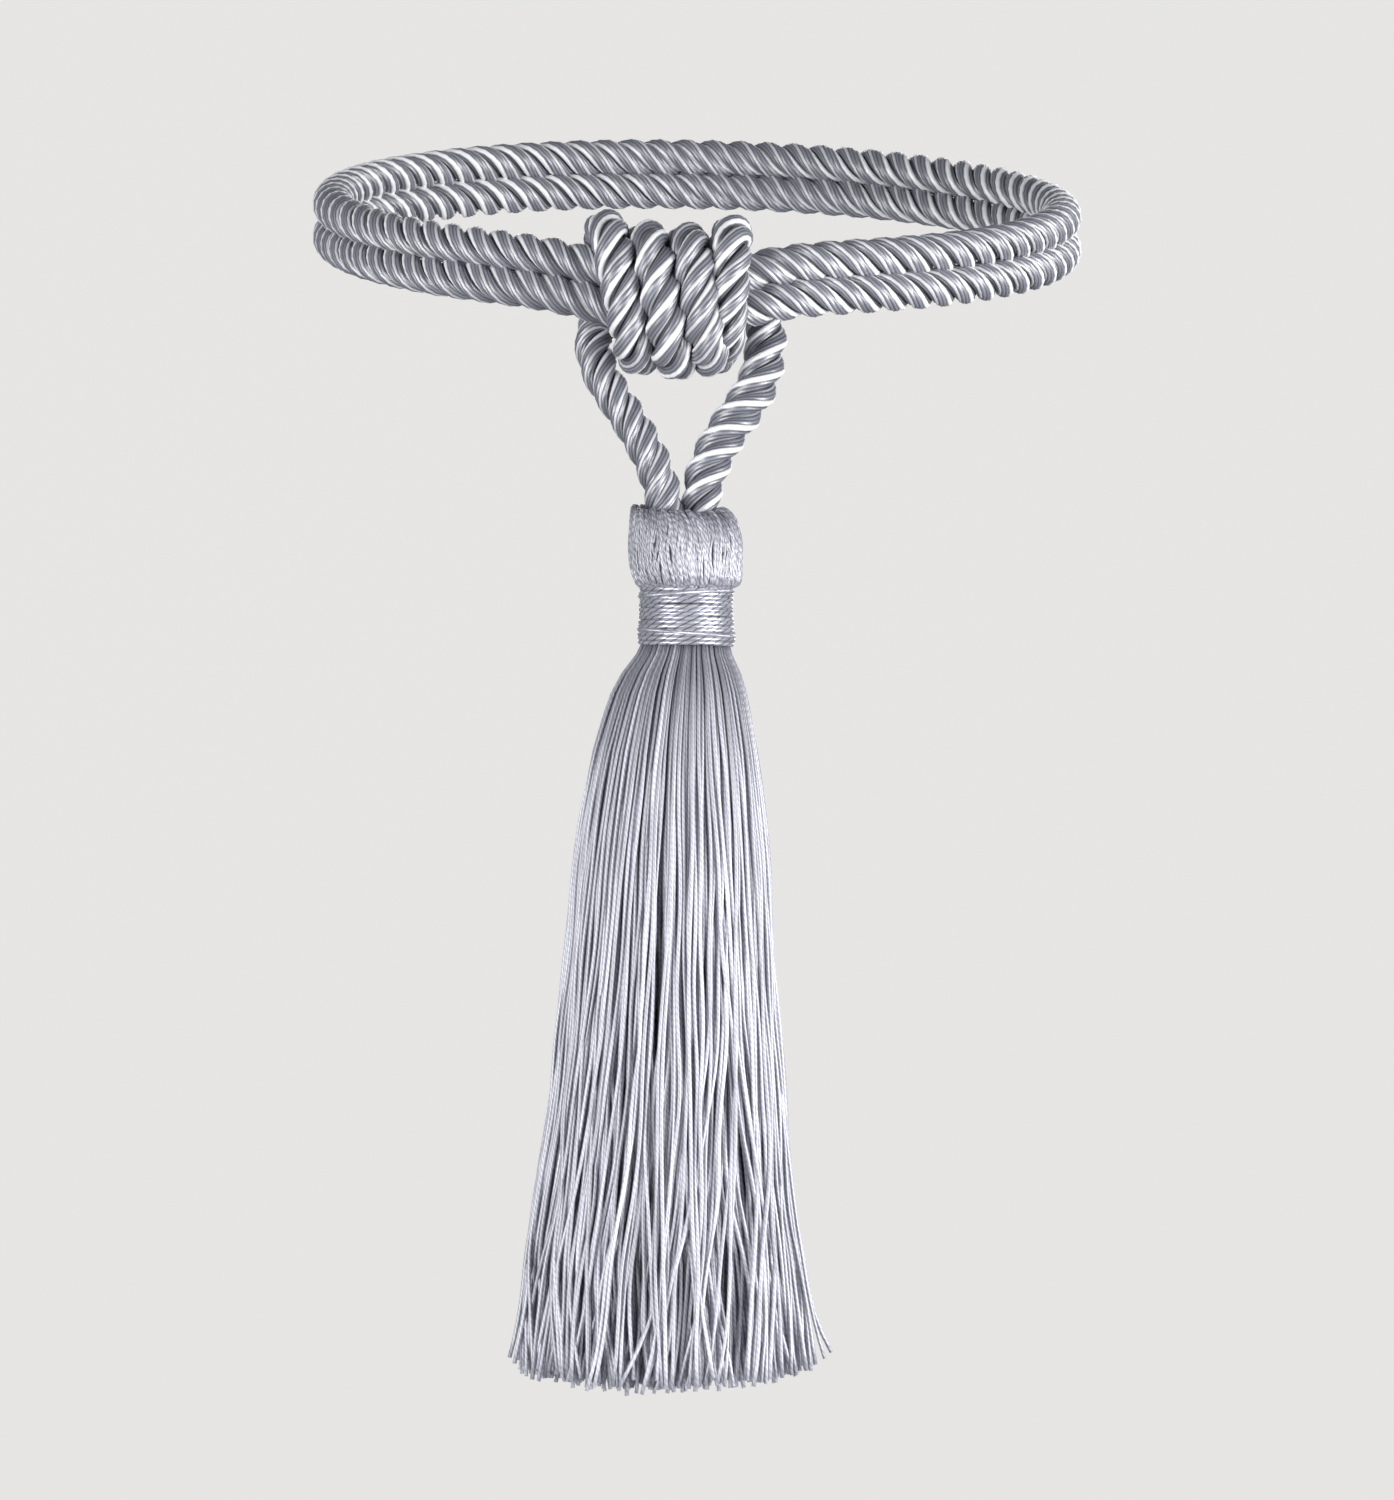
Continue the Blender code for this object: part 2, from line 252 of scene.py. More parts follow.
# Patches of paler and darker yarn: how many come to a yarn's width, and the values of their
# noise from which and up to which they grow lighter.
PATCHES_ACROSS = 1.3
PATCH_DIMMEST = 0.32
PATCH_LIGHTEST = 0.66
# How far apart the patterns of two threads or strands may start.
PLY_STEP = 11.0
PATCH_STEP = 37.0
FILAMENT_STEP = 53.0
# The bottom of the groove between two yarns, as a share of a yarn's width, where the painted groove
# shade is fullest.
GROOVE_BOTTOM = 0.02
# Shade is a little bluer than light.
SHADE_BLUENESS = 0.04

# Shades over the colour. Columns: place, grey. They go from deep between the strands to the rope's
# outside, as painted shade down between the strands; from a thread's start to where it leaves the
# painted shade under the binding and over the head's top; and from the dullest thread to the
# brightest, a tone that differs at random.
STRAND_SHADE = ((0.52, 0.06), (0.72, 0.34), (0.84, 0.90), (0.92, 1.0), (1.0, 1.0))
ROOT_SHADE = ((0.0, 0.32), (0.4, 0.54), (1.0, 1.0))
THREAD_SHADE = ((0.0, 0.70), (0.6, 0.96), (1.0, 1.20))
# Few threads are spared that painted shade at their start: the higher this power, the fewer.
BRIGHT_START_POWER = 6.0


def viscose(
    name,
    light,
    groove_shade,
    yarns,
    yarn_lay,
    groove,
    relief,
    roughness,
    metallic,
    dim,
    streaks,
    pale=None,
    shaded=0,
):
    """Shiny viscose whose yarns or plies run along the UV map, with painted shade where they meet.

    yarns counts them round the section and yarn_lay is the length of their full turn, or 0.
    Their dimmer stretches have the share dim of the light, and streaks of them come to a metre.
    A laid rope has yarns painted pale among the others as highlight lines, and painted shade down
    between its strands. Given a length, threads have painted shade over about that length from
    their start, for the shade under the binding and over the head's top, each to its own degree."""
    made = bpy.data.materials.new(name)
    made.use_nodes = True
    nodes = made.node_tree.nodes
    links = made.node_tree.links
    shader = nodes["Principled BSDF"]
    shader.inputs["Roughness"].default_value = roughness
    shader.inputs["IOR"].default_value = SHEEN_IOR
    shader.inputs["Specular IOR Level"].default_value = SHEEN_LEVEL
    shader.inputs["Metallic"].default_value = metallic

    def node(kind, **settings):
        new = nodes.new(kind)
        for key, value in settings.items():
            setattr(new, key, value)
        return new

    def maths(operation, first, second):
        new = node("ShaderNodeMath", operation=operation)
        for socket, value in zip(new.inputs, (first, second)):
            if isinstance(value, (int, float)):
                socket.default_value = value
            else:
                links.new(value, socket)
        return new.outputs[0]

    split = node("ShaderNodeSeparateXYZ")
    links.new(node("ShaderNodeUVMap", uv_map="UVMap").outputs[0], split.inputs[0])
    along, around = split.outputs[0], split.outputs[1]
    own = node("ShaderNodeNewGeometry").outputs["Random Per Island"]
    place = maths("MULTIPLY", around, yarns)
    if yarn_lay:
        place = maths("ADD", place, maths("MULTIPLY", along, yarns / yarn_lay))
        place = maths("ADD", place, maths("MULTIPLY", own, PLY_STEP))
    crown = maths("PINGPONG", place, 0.5)

    def noise(first, second, third, detail):
        """A noise read at a place of three values."""
        where = node("ShaderNodeCombineXYZ")
        for socket, value in zip(where.inputs, (first, second, third)):
            links.new(value, socket)
        made_noise = node("ShaderNodeTexNoise")
        made_noise.inputs["Scale"].default_value = 1.0
        made_noise.inputs["Detail"].default_value = detail
        links.new(where.outputs[0], made_noise.inputs["Vector"])
        return made_noise.outputs["Fac"]

    patches = noise(
        maths("MULTIPLY", along, streaks),
        maths("MULTIPLY", around, yarns * PATCHES_ACROSS),
        maths("MULTIPLY", own, PATCH_STEP),
        detail=3.0,
    )
    filaments = noise(
        maths("MULTIPLY", along, FILAMENTS_ALONG),
        maths("MULTIPLY", place, FILAMENTS_ACROSS),
        maths("MULTIPLY", own, FILAMENT_STEP),
        detail=2.0,
    )

    def yarn_tone(crown_colour):
        """The colour of a yarn from the painted shade of the groove beside it to its crown."""
        tone = node("ShaderNodeValToRGB")
        tone.color_ramp.elements[0].position = GROOVE_BOTTOM
        tone.color_ramp.elements[0].color = (*groove_shade, 1)
        tone.color_ramp.elements[1].position = groove
        tone.color_ramp.elements[1].color = (*crown_colour, 1)
        links.new(crown, tone.inputs[0])
        return tone.outputs[0]

    def shade_by(colour, place, stops):
        """The colour multiplied by a ramp of greys, whose stops are place and grey."""
        ramp = node("ShaderNodeValToRGB")
        elements = ramp.color_ramp.elements
        elements[0].position, elements[1].position = stops[0][0], stops[-1][0]
        for position, _ in stops[1:-1]:
            elements.new(position)
        for element, (_, grey) in zip(elements, stops):
            element.color = (grey, grey, grey + SHADE_BLUENESS * (1 - grey), 1)
        links.new(place, ramp.inputs[0])
        product = node("ShaderNodeMix", data_type="RGBA", blend_type="MULTIPLY")
        product.inputs["Factor"].default_value = 1.0
        links.new(colour, product.inputs["A"])
        links.new(ramp.outputs[0], product.inputs["B"])
        return product.outputs["Result"]

    patch_shade = ((PATCH_DIMMEST, dim), (PATCH_LIGHTEST, 1.0))
    colour = shade_by(yarn_tone(light), patches, patch_shade)
    # Painted highlights: every third yarn is painted pale as a highlight line along the strand.
    if pale:
        number = maths("FLOOR", place, 0)
        is_highlight_yarn = maths("LESS_THAN", maths("FLOORED_MODULO", number, HIGHLIGHT_YARN_EVERY), 0.5)
        is_palest_highlight = maths("LESS_THAN", maths("FLOORED_MODULO", number, 2 * HIGHLIGHT_YARN_EVERY), 0.5)
        share = maths("ADD", maths("MULTIPLY", is_palest_highlight, 1 - HIGHLIGHT_YARN_SHARE), HIGHLIGHT_YARN_SHARE)
        mixed = node("ShaderNodeMix", data_type="RGBA")
        links.new(maths("MULTIPLY", is_highlight_yarn, share), mixed.inputs["Factor"])
        links.new(colour, mixed.inputs["A"])
        links.new(yarn_tone(pale), mixed.inputs["B"])
        colour = mixed.outputs["Result"]
        # Painted shade down between the strands, by how far out from the rope's middle the surface
        # lies.
        outward = node("ShaderNodeAttribute", attribute_name="outward").outputs["Fac"]
        colour = shade_by(colour, outward, STRAND_SHADE)
    # Painted shade over each thread's start, for the shade under the binding and over the head's
    # top.
    if shaded:
        bright_start = maths("POWER", own, BRIGHT_START_POWER)
        out_of_shade = maths("ADD", maths("DIVIDE", along, shaded), bright_start)
        colour = shade_by(colour, out_of_shade, ROOT_SHADE)
        colour = shade_by(colour, own, THREAD_SHADE)
    links.new(colour, shader.inputs["Base Color"])

    yarn_height = maths("MULTIPLY", crown, relief)
    height = maths("ADD", yarn_height, maths("MULTIPLY", filaments, FILAMENT_RELIEF))
    bump = node("ShaderNodeBump")
    bump.inputs["Strength"].default_value = RELIEF_STRENGTH
    bump.inputs["Distance"].default_value = RELIEF_DEPTH
    links.new(height, bump.inputs["Height"])
    links.new(bump.outputs[0], shader.inputs["Normal"])
    return made


def add_piece(name, mesh, finish, nodes):
    """A finished piece on the tieback, in place of its plain solids."""
    mesh.shade_smooth()
    mesh.materials.clear()
    mesh.materials.append(finish)
    piece = bpy.data.objects.new(name, mesh)
    bpy.context.scene.collection.objects.link(piece)
    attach(piece, "root")
    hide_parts(*nodes)
    return piece


def length_of(line):
    return float(np.linalg.norm(np.diff(line[:, :3], axis=0), axis=1).sum())


# Painted shade in the grooves between yarns and down between the strands; every third yarn painted
# pale as a highlight line.
rope_yarn = viscose(
    "silver rope yarn",
    light=(0.26, 0.27, 0.32),
    groove_shade=(0.06, 0.06, 0.08),
    yarns=len(YARNS),
    yarn_lay=0,
    groove=0.28,
    relief=0.5,
    roughness=0.42,
    metallic=0.0,
    dim=0.62,
    streaks=60.0,
    pale=(0.98, 0.98, 1.0),
)

# The lay is eased so that one round takes whole thirds of it, which is what lets them nest.
one_round = length_of(np.array(ring_route()[: ROUND_SAMPLES + 1]))
ring_lay = one_round * STRANDS / round(one_round * STRANDS / ROPE_LAY)
ring_line = even_line(ring_route(), ring_lay / RING_STEPS_PER_LAY)
ring_mesh = laid_rope("round_rope", ring_line, RING_STEPS_PER_LAY)
round_rope = add_piece("round_rope", ring_mesh, rope_yarn, ["ring_rope"])

# The knot. A second length of the same rope is wound four times round the two rounds of the
# ring and the hanging cord, and its two ends are drawn in behind its turns.
WRAP_SLACK = 0.0005
WRAP_RADIUS = 2 * ROPE_RADIUS + WRAP_SLACK
NOTCH_DEPTH = 0.0084
WRAP_THICKNESS = 1.07
KNOT_STEPS_PER_LAY = 18

# The turns. All but the last lean over towards the right on their way down the front.
# Columns: x at the top, x at the bottom.
WRAPS = ((-0.0186, -0.0120), (-0.0102, -0.0043), (-0.0019, 0.0030), (0.0072, 0.0068))
BOTTOM_BEFORE_X = -0.0203

# The ropes that a turn bends round, each by how far it lies behind and above the pair's centre.
WRAPPED = {
    "upper": (0.0, PASS_OFFSET),
    "lower": (0.0, -PASS_OFFSET),
    "cord": (NOTCH_DEPTH, 0.0),
}

# One turn. Columns: degrees from the top towards the front, rope bent round,
# share of the front's lean, share of the advance at the back.
WRAP_TURN = (
    (0, "upper", 0.0, 0.0),
    (45, "upper", 0.19, 0.0),
    (90, "upper", 0.38, 0.0),
    (90, "lower", 0.62, 0.0),
    (135, "lower", 0.81, 0.0),
    (180, "lower", 1.0, 0.0),
    (206, "lower", 1.0, 0.1),
    (206, "cord", 1.0, 0.3),
    (238, "cord", 1.0, 0.4),
    (270, "cord", 1.0, 0.5),
    (302, "cord", 1.0, 0.6),
    (334, "cord", 1.0, 0.7),
    (334, "upper", 1.0, 0.9),
)

# How the ends are drawn in. Columns: row of the turn, thickness, shift back.
TUCK_AT_START = ((9, 0.55, 0.0), (10, 0.80, 0.0), (11, 0.95, 0.0), (12, 1.0, 0.0))
TUCK_AT_END = (
    (0, 1.0, 0.0),
    (1, 0.98, 0.0002),
    (2, 0.95, 0.0005),
    (3, 0.90, 0.0010),
    (4, 0.82, 0.0022),
    (5, 0.66, 0.0040),
)


def front_y(x):
    """How far forward the ring lies at this x."""
    return -RING_HALF_DEPTH * math.sqrt(1 - (x / RING_HALF_WIDTH) ** 2)


def wrap_point(top, bottom, next_top, row, share=1.0, shift_back=0.0):
    """A point of the knot's rope, drawn left against its neighbour where it is squeezed."""
    degrees, core, front, back = WRAP_TURN[row]
    x = top + (bottom - top) * front + (next_top - bottom) * back
    core_y, core_z = WRAPPED[core]
    angle = math.radians(degrees)
    y = front_y(x) + core_y - WRAP_RADIUS * math.sin(angle) + shift_back
    z = pair_centre(x, front_y(x)) + core_z + WRAP_RADIUS * math.cos(angle)
    return (x - ROPE_RADIUS * (1 - share), y, z, share * WRAP_THICKNESS)


def knot_route():
    """Four turns, with both ends drawn in."""
    before_first = (BOTTOM_BEFORE_X, BOTTOM_BEFORE_X, WRAPS[0][0])
    route = [wrap_point(*before_first, *tuck) for tuck in TUCK_AT_START]
    for (top, bottom), (next_top, _) in zip(WRAPS, WRAPS[1:]):
        route += [wrap_point(top, bottom, next_top, row) for row in range(len(WRAP_TURN))]
    last_top, last_bottom = WRAPS[-1]
    route += [wrap_point(last_top, last_bottom, last_bottom, *tuck) for tuck in TUCK_AT_END]
    return route


knot_line = even_line(knot_route(), ROPE_LAY / KNOT_STEPS_PER_LAY)
knot_mesh = laid_rope("knot_turns", knot_line, KNOT_STEPS_PER_LAY)
knot_turns = add_piece("knot_turns", knot_mesh, rope_yarn, ["knot_rope"])

# The hanging cord. A third length of the rope runs through the knot beside the ring's two
# rounds and comes down as a V, and both of its ends go into the tassel's head.

# The cord's route. Columns: x, y, z, thickness.
HANGING_ROUTE = (
    (-0.0064, -0.0692, -0.0642, 0.98),
    (-0.0067, -0.0692, -0.0605, 0.98),
    (-0.0081, -0.0684, -0.0552, 0.98),
    (-0.0103, -0.0670, -0.0500, 0.98),
    (-0.0131, -0.0650, -0.0450, 0.98),
    (-0.0162, -0.0632, -0.0402, 0.98),
    (-0.0191, -0.0612, -0.0353, 1.0),
    (-0.0210, -0.0586, -0.0292, 1.0),
    (-0.0200, -0.0570, -0.0232, 1.0),
    (-0.0142, -0.0583, -0.0197, 1.0),
    (-0.0050, -0.0594, -0.0203, 1.0),
    (0.0042, -0.0593, -0.0196, 1.0),
    (0.0102, -0.0586, -0.0190, 1.02),
    (0.0138, -0.0578, -0.0234, 1.04),
    (0.0139, -0.0600, -0.0302, 1.08),
    (0.0124, -0.0622, -0.0366, 1.1),
    (0.0090, -0.0640, -0.0423, 1.1),
    (0.0056, -0.0652, -0.0472, 1.1),
    (0.0030, -0.0662, -0.0522, 1.08),
    (0.0013, -0.0668, -0.0572, 1.05),
    (0.0008, -0.0668, -0.0605, 1.02),
    (0.0008, -0.0668, -0.0642, 1.0),
)

# The cord is the ring's rope with its yarn painted a little darker, as painted shade.
rope_yarn_in_shade = viscose(
    "silver rope yarn in painted shade",
    light=(0.23, 0.24, 0.29),
    groove_shade=(0.05, 0.05, 0.07),
    yarns=len(YARNS),
    yarn_lay=0,
    groove=0.28,
    relief=0.5,
    roughness=0.40,
    metallic=0.0,
    dim=0.62,
    streaks=60.0,
    pale=(0.94, 0.94, 0.98),
)
hanging_line = even_line(HANGING_ROUTE, ROPE_LAY / KNOT_STEPS_PER_LAY)
hanging_mesh = laid_rope("hanging_v", hanging_line, KNOT_STEPS_PER_LAY)
hanging_v = add_piece("hanging_v", hanging_mesh, rope_yarn_in_shade, ["hanging_cord"])

# The tassel's skirt. Some 780 two-ply viscose threads hang from under the binding, a little
# wavy, in locks that cross each other near the cut ends, with a few strays at each side.
TASSEL_Y = -0.0680
SKIRT_THREADS = 780
THREAD_SIDES = 6
THREAD_RADIUS = 0.00043
# Least and greatest thickness of a thread beside the usual one.
THREAD_UNEVEN = (0.85, 1.1)
THREAD_STEPS = 38
# They are squeezed thinner under the binding and swell out over the first part of their fall.
ROOT_SQUEEZE = 0.35
SWELL_SHARE = 0.12
# The threads lie closest on the outside. A power of 0.5 would spread them evenly.
CROWDING = 0.30
# Half turns from one thread to the next, by the golden angle.
NEXT_THREAD = 3 - math.sqrt(5)
# No thread but a stray lies past this share of the skirt's radius.
OUTERMOST = 0.985
# At the root they keep off the skirt's outline by half their own radius.
ROOT_HALF_WIDTH = 0.009
ROOT_INSET = 0.5 * THREAD_RADIUS / ROOT_HALF_WIDTH
SEED = 7

# The locks: how many go round, in how many layers, how far they sway on the way, drift by mid
# height, lean at the tips and bow out, as shares of the skirt's radius.
LOCKS = 34
LAYERS = 7
LOCK_SWAY = 0.030
LOCK_DRIFT = 0.19
LOCK_LEAN = 0.27
LOCK_BOW = 0.035
# Least and most waves in a lock's sway.
SWAY_WAVES = (1.5, 3.0)
# Locks lie one over the other again after so many layers, and some threads leave their lock.
LAYERS_IN_STEP = 3
LOCK_MIXING = 0.35
# Some threads cross the others singly.
CROSSING_SHARE = 0.30
CROSSING_LEAN = 0.34
CROSSING_DRIFT = 0.5
# How far each thread starts aside, drifts, leans, bows out and flicks at its tip by itself.
OWN_START = 0.03
OWN_DRIFT = 0.04
OWN_LEAN = 0.08
OWN_BOW = 0.02
OWN_FLICK = 0.04
# Powers of the share of the fall: drifts and bows come on early, leans late, flicks last.
DRIFT_POWER = 1.5
LEAN_POWER = 3.5
FLICK_POWER = 5
# How far each thread kinks by itself, and its least and most kinks.
KINK = 0.0004
KINKS = (1.5, 5)

# The skirt's outline, read at short steps. Columns: half width, half depth, z, centre x.
SKIRT_OUTLINE_STEP = 0.001
SKIRT = (
    (0.0084, 0.0084, -0.0880, -0.0022),
    (0.0088, 0.0088, -0.0903, -0.0024),
    (0.0112, 0.0106, -0.0940, -0.0030),
    (0.0137, 0.0126, -0.0990, -0.0036),
    (0.0159, 0.0143, -0.1070, -0.0042),
    (0.0176, 0.0156, -0.1150, -0.0046),
    (0.0202, 0.0173, -0.1343, -0.0052),
    (0.0222, 0.0187, -0.1602, -0.0057),
    (0.0245, 0.0202, -0.1840, -0.0061),
    (0.0268, 0.0220, -0.2040, -0.0066),
    (0.0281, 0.0234, -0.2135, -0.0068),
    (0.0290, 0.0242, -0.2243, -0.0066),
    (0.0304, 0.0250, -0.2420, -0.0062),
)
# The tips are trimmed a little unevenly and hang higher at the sides.
TIP_Z = -0.2388
TIP_UNEVEN = 0.0008
TIP_SIDE_RISE = 0.0026

# Strays. Columns: degrees from the right towards the back, share of the skirt's width at the
# tip, power of the bend, tip height above the others.
STRAYS = (
    (-6, 1.12, 9, 0.0012),
    (-14, 1.08, 7, 0.0006),
    (5, 1.17, 11, 0.0018),
    (-20, 1.02, 8, 0.0),
    (184, 1.10, 9, 0.0014),
    (192, 1.06, 7, 0.0008),
    (174, 1.03, 5, 0.0010),
)


def hung_thread(rows, chance, share, turn, tip):
    """One thread down the skirt's outline rows, at these shares of its radius and these turns.

    It comes as rows of x, y, z and radius."""
    t = np.linspace(0, 1, THREAD_STEPS + 1)
    tip += TIP_SIDE_RISE * (share[-1] * math.cos(turn[-1])) ** 2
    z = rows[0, 2] + (tip - rows[0, 2]) * t
    half_width, half_depth, centre_x = (
        np.interp(-z, -rows[:, 2], rows[:, column]) for column in (0, 1, 3)
    )
    x = centre_x + share * half_width * np.cos(turn)
    y = TASSEL_Y + share * half_depth * np.sin(turn)
    for places in (x, y):
        waves = chance.uniform(*KINKS) * t + chance.uniform()
        places += KINK * np.sqrt(t) * np.sin(2 * math.pi * waves)
    squeezed = 1 - ROOT_SQUEEZE * np.maximum(1 - t / SWELL_SHARE, 0)
    radius = THREAD_RADIUS * chance.uniform(*THREAD_UNEVEN) * squeezed
    return np.column_stack([x, y, z, radius])


def skirt_routes():
    """Every thread of the skirt, with its share of the skirt's radius at the root."""
    rows = even_line(SKIRT, SKIRT_OUTLINE_STEP)
    chance = np.random.default_rng(SEED)
    t = np.linspace(0, 1, THREAD_STEPS + 1)
    routes = []
    shares = []
    lock_drifts = chance.normal(0, LOCK_DRIFT, (LAYERS, LOCKS))
    lock_leans = chance.normal(0, LOCK_LEAN, (LAYERS, LOCKS))
    lock_bows = chance.normal(0, LOCK_BOW, (LAYERS, LOCKS))
    lock_sways = chance.normal(0, LOCK_SWAY, (LAYERS, LOCKS))
    lock_waves = chance.uniform(*SWAY_WAVES, (LAYERS, LOCKS))
    for number in range(SKIRT_THREADS):
        root = ((number + 0.5) / SKIRT_THREADS) ** CROWDING
        direction = number * math.pi * NEXT_THREAD + chance.normal(0, OWN_START)
        layer = int(LAYERS * number / SKIRT_THREADS)
        place = LOCKS * direction / (2 * math.pi) + layer / LAYERS_IN_STEP
        place += chance.normal(0, LOCK_MIXING)
        lock = (layer, int(place) % LOCKS)
        crossing = chance.normal(0, CROSSING_LEAN) * (chance.uniform() < CROSSING_SHARE)
        lean = lock_leans[lock] + chance.normal(0, OWN_LEAN) + crossing
        drift = lock_drifts[lock] + chance.normal(0, OWN_DRIFT) - CROSSING_DRIFT * crossing
        sway = lock_sways[lock] * np.sin(2 * math.pi * lock_waves[lock] * t)
        turn = direction + (drift * t**DRIFT_POWER + lean * t**LEAN_POWER + sway * t)
        bow = (lock_bows[lock] + chance.normal(0, OWN_BOW)) * t**DRIFT_POWER
        bow = bow + chance.normal(0, OWN_FLICK) * t**FLICK_POWER
        tip = TIP_Z + chance.normal(0, TIP_UNEVEN)
        share = np.minimum(root * (1 - ROOT_INSET) + bow, OUTERMOST)
        routes.append(hung_thread(rows, chance, share, turn, tip))
        shares.append(root)
    for degrees, reach, power, rise in STRAYS:
        share = OUTERMOST * (1 - ROOT_INSET) + (reach - OUTERMOST) * t**power
        turn = np.full(len(t), math.radians(degrees))
        routes.append(hung_thread(rows, chance, share, turn, TIP_Z + rise))
        shares.append(OUTERMOST)
    return routes, shares


def thread_section(sides):
    """The outline of a thread as a flat closed curve, for sweeping, drawn clockwise."""
    outline = bpy.data.curves.new("thread_section", "CURVE")
    outline.dimensions = "2D"
    spline = outline.splines.new("POLY")
    spline.points.add(sides - 1)
    for number, point in enumerate(spline.points):
        turn = -2 * math.pi * number / sides
        point.co = (math.cos(turn), math.sin(turn), 0, 1)
    spline.use_cyclic_u = True
    made = bpy.data.objects.new("thread_section", outline)
    bpy.context.scene.collection.objects.link(made)
    return made


def swept(name, routes, outline):
    """Threads swept along rows of x, y, z and radius, in one mesh.

    Its UV map runs in metres along the threads and from 0 to 1 round them."""
    curve = bpy.data.curves.new(name, "CURVE")
    curve.dimensions = "3D"
    curve.bevel_mode = "OBJECT"
    curve.bevel_object = outline
    curve.use_fill_caps = True
    lengths = []
    for route in routes:
        spline = curve.splines.new("POLY")
        spline.points.add(len(route) - 1)
        corners = np.column_stack([route[:, :3], np.ones(len(route))])
        spline.points.foreach_set("co", corners.ravel())
        spline.points.foreach_set("radius", route[:, 3].copy())
        lengths.append(length_of(route))
    source = bpy.data.objects.new(name, curve)
    bpy.context.scene.collection.objects.link(source)
    depsgraph = bpy.context.evaluated_depsgraph_get()
    mesh = bpy.data.meshes.new_from_object(source.evaluated_get(depsgraph))
    bpy.data.objects.remove(source)
    bpy.data.curves.remove(curve)
    bm = bmesh.new()
    bm.from_mesh(mesh)
    bmesh.ops.remove_doubles(bm, verts=bm.verts[:], dist=1e-7)
    bmesh.ops.recalc_face_normals(bm, faces=bm.faces[:])
    bm.to_mesh(mesh)
    bm.free()
    layer = mesh.uv_layers[0].data
    places = np.zeros(len(layer) * 2, np.float32)
    layer.foreach_get("uv", places)
    places[0::2] *= np.mean(lengths)
    layer.foreach_set("uv", places)
    mesh.name = name
    return mesh


# Painted shade in the grooves between the plies, and over each thread's first 40 mm under the
# binding.
skirt_thread = viscose(
    "silver two-ply thread",
    light=(0.70, 0.71, 0.79),
    groove_shade=(0.46, 0.46, 0.54),
    yarns=2,
    yarn_lay=0.0026,
    groove=0.28,
    relief=0.6,
    roughness=0.42,
    metallic=0.0,
    dim=0.66,
    streaks=60.0,
    shaded=0.040,
)

# Columns: name, least and greatest share of the skirt's radius at the root.
SKIRT_PIECES = (
    ("skirt_inner_threads", 0.0, 0.80),
    ("skirt_middle_threads", 0.80, 0.935),
    ("skirt_outer_threads", 0.935, 1.0),
)

thread_outline = thread_section(THREAD_SIDES)
routes, shares = skirt_routes()
for name, least, greatest in SKIRT_PIECES:
    group = [route for route, share in zip(routes, shares) if least <= share < greatest]
    mesh = swept(name, group, thread_outline)
    add_piece(name, mesh, skirt_thread, ["tassel_threads"])

# The tassel's head. The same threads, folded over the hanging cord's ends, run from the hollow
# round those ends over a plump shoulder and in under the binding, on a firm core.
HEAD_THREADS = 250
HEAD_THREAD_RADIUS = 0.00036
# Least and greatest thickness of a thread, and shift from its place, beside the usual ones.
HEAD_UNEVEN = (0.85, 1.15)
HEAD_SHIFT = (-0.3, 0.3)
HEAD_STEPS = 28
# How the threads run aslant, more so at the right, and unevenly.
HEAD_SLANT = 0.04
HEAD_SLANT_RIGHT = 0.26
HEAD_SLANT_UNEVEN = 0.09
# How far they wave, in least and most half waves, and how far some stand proud.
HEAD_WAVE = 0.030
HEAD_WAVES = (3, 6)
HEAD_PROUD = 0.00016
# The rim is uneven, and lower in front, where the cord's ends press it, and at the right.
# Both fade out between two shares of a thread's length.
RIM_UNEVEN = 0.0003
RIM_FRONT_DIP = 0.0013
RIM_RIGHT_DIP = 0.0007
RIM_FADE = (0.3, 0.65)

# The head's outline, read at short steps. Columns: half width, half depth, z, centre x.
HEAD_OUTLINE_STEP = 0.0004
HEAD = (
    (0.0070, 0.0044, -0.0672, -0.0030),
    (0.0076, 0.0052, -0.0645, -0.0034),
    (0.0083, 0.0066, -0.0622, -0.0040),
    (0.0093, 0.0084, -0.0621, -0.0036),
    (0.0102, 0.0100, -0.0637, -0.0029),
    (0.0107, 0.0109, -0.0661, -0.0025),
    (0.0111, 0.0114, -0.0695, -0.0023),
    (0.0110, 0.0113, -0.0735, -0.0022),
    (0.0107, 0.0109, -0.0760, -0.0019),
    (0.0102, 0.0102, -0.0775, -0.0018),
    (0.0088, 0.0088, -0.0783, -0.0021),
    (0.0084, 0.0084, -0.0800, -0.0022),
)

# The firm core inside, whose flat top is the floor of the hollow.
CORE_TOP = (0.0094, 0.0090, -0.0664, -0.0028)
NECK_END = (0.0084, 0.0084, -0.0912, -0.0022)
CORE_INSET = 0.0003
CORE_SIDES = 48
CORE_SHADE = (0.45, 0.45, 0.51, 1)
CORE_LIGHT = (0.66, 0.66, 0.73, 1)
CORE_ROUGHNESS = 0.5
CORE_GRAIN = 900
CORE_RELIEF = 0.0001


